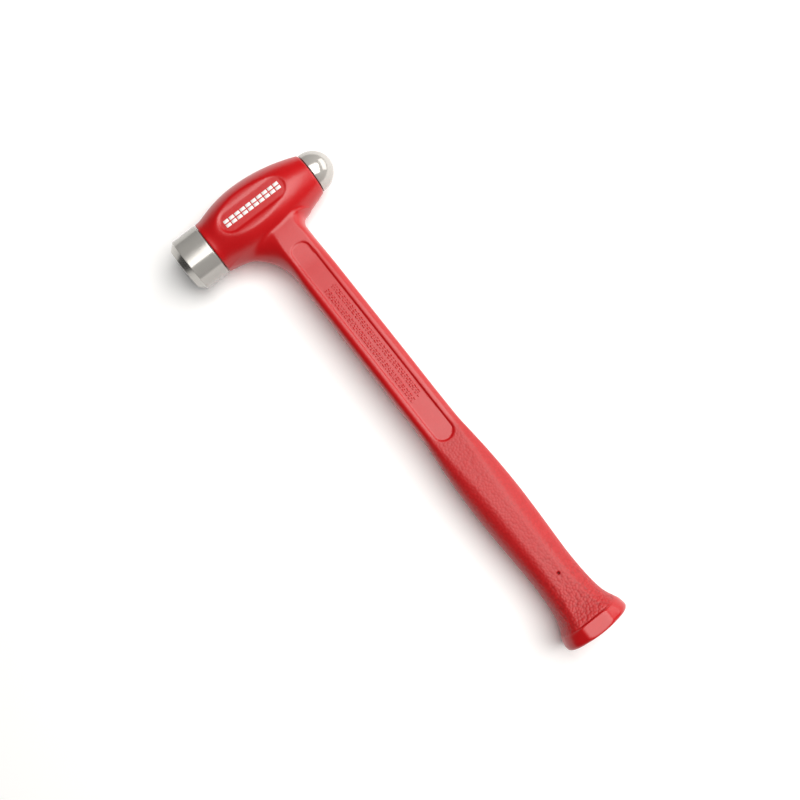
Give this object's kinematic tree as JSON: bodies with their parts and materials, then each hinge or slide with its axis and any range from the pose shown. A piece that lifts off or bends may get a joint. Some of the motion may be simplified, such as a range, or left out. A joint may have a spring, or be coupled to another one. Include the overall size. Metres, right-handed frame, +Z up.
{
  "type": "ball peen hammer",
  "caption": "Dead-blow ball peen hammer: steel striking face and round peen in a moulded urethane jacket over head, shank and pebbled grip.",
  "frame": {"origin": "on the flat oval pad under the head, straight below the crossing of the head axis and the handle axis", "axes": "+X along the head towards the ball peen, +Y along the handle axis away from the butt, +Z up with the hammer lying on its side"},
  "size_m": [0.1165, 0.3561, 0.0394],
  "materials": {
    "red_urethane": "satin moulded, pebbled on the grip",
    "turned_steel": "turned",
    "peen_steel": "turned and polished",
    "plain_steel": "mill finish",
    "spring_steel": "black oxide",
    "steel_shot": "tumbled"
  },
  "bodies": {
    "hammer": {"urethane_jacket": "red_urethane", "striking_face": "turned_steel", "ball_peen": "peen_steel", "canister_tube": "plain_steel", "handle_boss": "plain_steel", "handle_core_rod": "plain_steel", "rod_roll_pin": "spring_steel", "rod_anchor_washer": "plain_steel"},
    "shot_charge": {"shot_pellet_01": "steel_shot", "shot_pellet_02": "steel_shot", "shot_pellet_03": "steel_shot", "shot_pellet_04": "steel_shot", "shot_pellet_05": "steel_shot", "shot_pellet_06": "steel_shot", "shot_pellet_07": "steel_shot", "shot_pellet_08": "steel_shot", "shot_pellet_09": "steel_shot", "shot_pellet_10": "steel_shot", "shot_pellet_11": "steel_shot", "shot_pellet_12": "steel_shot", "shot_pellet_13": "steel_shot", "shot_pellet_14": "steel_shot", "shot_pellet_15": "steel_shot", "shot_pellet_16": "steel_shot", "shot_pellet_17": "steel_shot", "shot_pellet_18": "steel_shot", "shot_pellet_19": "steel_shot", "shot_pellet_20": "steel_shot", "shot_pellet_21": "steel_shot", "shot_pellet_22": "steel_shot", "shot_pellet_23": "steel_shot", "shot_pellet_24": "steel_shot", "shot_pellet_25": "steel_shot", "shot_pellet_26": "steel_shot", "shot_pellet_27": "steel_shot", "shot_pellet_28": "steel_shot", "shot_pellet_29": "steel_shot", "shot_pellet_30": "steel_shot", "shot_pellet_31": "steel_shot", "shot_pellet_32": "steel_shot", "shot_pellet_33": "steel_shot", "shot_pellet_34": "steel_shot", "shot_pellet_35": "steel_shot"}
  },
  "joints": [
    {"name": "shot_slide", "type": "slide", "parent": "hammer", "child": "shot_charge", "axis": [1, 0, 0], "range_m": [-0.006, 0.006]}
  ]
}
